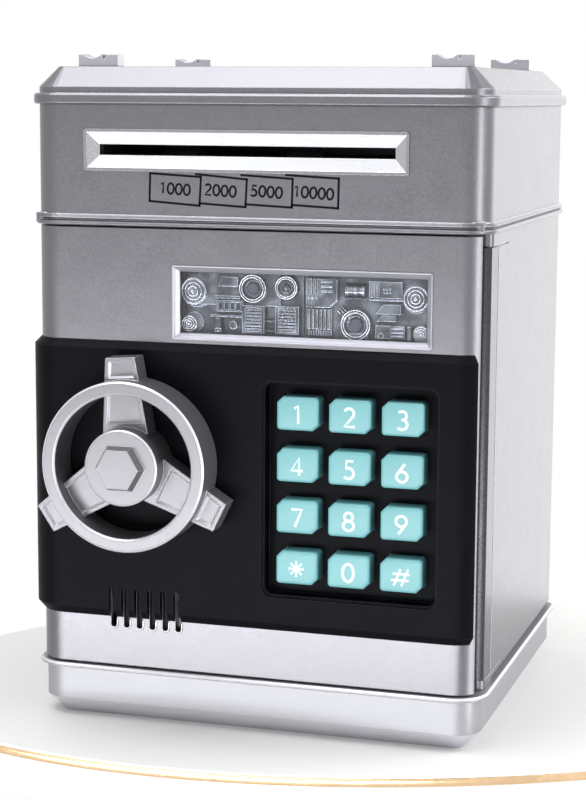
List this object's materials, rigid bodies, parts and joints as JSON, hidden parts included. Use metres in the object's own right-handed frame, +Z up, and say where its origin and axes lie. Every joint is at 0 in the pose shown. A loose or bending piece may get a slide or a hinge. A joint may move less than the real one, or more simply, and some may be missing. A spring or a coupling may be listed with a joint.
{
  "type": "atm coin bank",
  "caption": "Toy savings bank shaped as a cash machine: note slot and feeder in the head, coin slot in the lid, and a hinged door with handwheel latch, keypad, window and batteries.",
  "frame": {"origin": "on the floor under the middle of the casing's plan, the middle of the base tray's flat underside", "axes": "+X to the right seen from the front, +Y to the back, +Z up"},
  "size_m": [0.1306, 0.129, 0.1849],
  "materials": {
    "silver_plastic": "silver metallic paint on moulded ABS",
    "black_plastic": "fine matte black ABS",
    "bright_trim": "bright silver paint on moulded ABS",
    "steel": "plain or zinc-plated steel",
    "white_plastic": "natural acetal",
    "roller_rubber": "ground rubber",
    "mat_rubber": "moulded silicone rubber",
    "circuit_board": "green solder mask",
    "clear_pane": "clear polished plastic",
    "lamp_epoxy": "clear lamp epoxy",
    "speaker_body": "black paper cone and magnet",
    "battery_jacket": "plain printed jacket",
    "key_plastic": "pale teal ABS"
  },
  "bodies": {
    "casing": {"base_tray": "silver_plastic", "body_shell": "silver_plastic", "head_shell": "silver_plastic", "lid": "silver_plastic", "note_slot_bezel": "bright_trim", "strike_plate": "steel", "hinge_pin_top": "steel", "hinge_pin_bottom": "steel", "casing_screws": "steel", "feeder_frame": "black_plastic", "note_guide": "black_plastic", "feed_motor": "steel", "note_sensor": "circuit_board", "pinch_springs": "steel", "feeder_screws": "steel"},
    "door": {"door_shell": "silver_plastic", "door_liner": "silver_plastic", "door_panel": "black_plastic", "window_bezel": "bright_trim", "window_lens": "clear_pane", "window_relief": "bright_trim", "led_lamps": "lamp_epoxy", "key_mat": "mat_rubber", "keypad_board": "circuit_board", "main_board": "circuit_board", "speaker": "speaker_body", "wheel_bush": "white_plastic", "lock_frame": "steel", "lock_solenoid": "steel", "plunger_spring": "steel", "battery_box": "black_plastic", "battery_cells": "battery_jacket", "battery_contacts": "steel", "door_screws": "steel"},
    "drive_roller_set": {"drive_shaft": "steel", "drive_rollers": "roller_rubber", "drive_gear": "white_plastic"},
    "motor_rotor": {"motor_shaft": "steel", "motor_pinion": "white_plastic"},
    "pinch_roller_set": {"pinch_shaft": "steel", "pinch_rollers": "roller_rubber"},
    "battery_cover": {"battery_cover": "black_plastic"},
    "handwheel_set": {"handwheel": "silver_plastic", "wheel_shaft": "steel", "latch_pinion": "white_plastic", "wheel_clip": "steel"},
    "latch_bolt": {"latch_bolt": "steel"},
    "solenoid_plunger": {"solenoid_plunger": "steel"},
    "key_1": {"key_1": "key_plastic"},
    "key_2": {"key_2": "key_plastic"},
    "key_3": {"key_3": "key_plastic"},
    "key_4": {"key_4": "key_plastic"},
    "key_5": {"key_5": "key_plastic"},
    "key_6": {"key_6": "key_plastic"},
    "key_7": {"key_7": "key_plastic"},
    "key_8": {"key_8": "key_plastic"},
    "key_9": {"key_9": "key_plastic"},
    "key_star": {"key_star": "key_plastic"},
    "key_0": {"key_0": "key_plastic"},
    "key_hash": {"key_hash": "key_plastic"}
  },
  "joints": [
    {"name": "door_hinge", "type": "hinge", "parent": "casing", "child": "door", "pos_m": [0.061, -0.0435, 0.07725], "axis": [0, 0, 1], "range_deg": [0, 100]},
    {"name": "wheel_turn", "type": "hinge", "parent": "door", "child": "handwheel_set", "pos_m": [-0.0319, -0.062, 0.075], "axis": [0, 1, 0], "range_deg": [0, 90]},
    {"name": "bolt_slide", "type": "slide", "parent": "door", "child": "latch_bolt", "axis": [-1, 0, 0], "range_m": [0, 0.0063]},
    {"name": "plunger_slide", "type": "slide", "parent": "door", "child": "solenoid_plunger", "axis": [0, 0, 1], "range_m": [0, 0.004], "deforming": ["plunger_spring"]},
    {"name": "battery_cover_slide", "type": "slide", "parent": "door", "child": "battery_cover", "axis": [0, 0, -1], "range_m": [0, 0.008]},
    {"name": "drive_roller_spin", "type": "hinge", "parent": "casing", "child": "drive_roller_set", "pos_m": [0, -0.038, 0.15215], "axis": [1, 0, 0], "continuous": true},
    {"name": "motor_spin", "type": "hinge", "parent": "casing", "child": "motor_rotor", "pos_m": [0.04, -0.02692, 0.14755], "axis": [1, 0, 0], "continuous": true},
    {"name": "pinch_roller_spin", "type": "hinge", "parent": "casing", "child": "pinch_roller_set", "pos_m": [0, -0.038, 0.16385], "axis": [1, 0, 0], "continuous": true},
    {"name": "key_1_press", "type": "slide", "parent": "door", "child": "key_1", "axis": [0, 1, 0], "range_m": [0, 0.0012], "stiffness_N_per_m": 300, "deforming": ["key_mat"]},
    {"name": "key_2_press", "type": "slide", "parent": "door", "child": "key_2", "axis": [0, 1, 0], "range_m": [0, 0.0012], "stiffness_N_per_m": 300, "deforming": ["key_mat"]},
    {"name": "key_3_press", "type": "slide", "parent": "door", "child": "key_3", "axis": [0, 1, 0], "range_m": [0, 0.0012], "stiffness_N_per_m": 300, "deforming": ["key_mat"]},
    {"name": "key_4_press", "type": "slide", "parent": "door", "child": "key_4", "axis": [0, 1, 0], "range_m": [0, 0.0012], "stiffness_N_per_m": 300, "deforming": ["key_mat"]},
    {"name": "key_5_press", "type": "slide", "parent": "door", "child": "key_5", "axis": [0, 1, 0], "range_m": [0, 0.0012], "stiffness_N_per_m": 300, "deforming": ["key_mat"]},
    {"name": "key_6_press", "type": "slide", "parent": "door", "child": "key_6", "axis": [0, 1, 0], "range_m": [0, 0.0012], "stiffness_N_per_m": 300, "deforming": ["key_mat"]},
    {"name": "key_7_press", "type": "slide", "parent": "door", "child": "key_7", "axis": [0, 1, 0], "range_m": [0, 0.0012], "stiffness_N_per_m": 300, "deforming": ["key_mat"]},
    {"name": "key_8_press", "type": "slide", "parent": "door", "child": "key_8", "axis": [0, 1, 0], "range_m": [0, 0.0012], "stiffness_N_per_m": 300, "deforming": ["key_mat"]},
    {"name": "key_9_press", "type": "slide", "parent": "door", "child": "key_9", "axis": [0, 1, 0], "range_m": [0, 0.0012], "stiffness_N_per_m": 300, "deforming": ["key_mat"]},
    {"name": "key_star_press", "type": "slide", "parent": "door", "child": "key_star", "axis": [0, 1, 0], "range_m": [0, 0.0012], "stiffness_N_per_m": 300, "deforming": ["key_mat"]},
    {"name": "key_0_press", "type": "slide", "parent": "door", "child": "key_0", "axis": [0, 1, 0], "range_m": [0, 0.0012], "stiffness_N_per_m": 300, "deforming": ["key_mat"]},
    {"name": "key_hash_press", "type": "slide", "parent": "door", "child": "key_hash", "axis": [0, 1, 0], "range_m": [0, 0.0012], "stiffness_N_per_m": 300, "deforming": ["key_mat"]}
  ],
  "couplings": [
    {"joint": "bolt_slide", "follows": "wheel_turn", "m_per_rad": 0.004},
    {"joint": "motor_spin", "follows": "drive_roller_spin", "ratio": -3},
    {"joint": "pinch_roller_spin", "follows": "drive_roller_spin", "ratio": -1.5556}
  ]
}
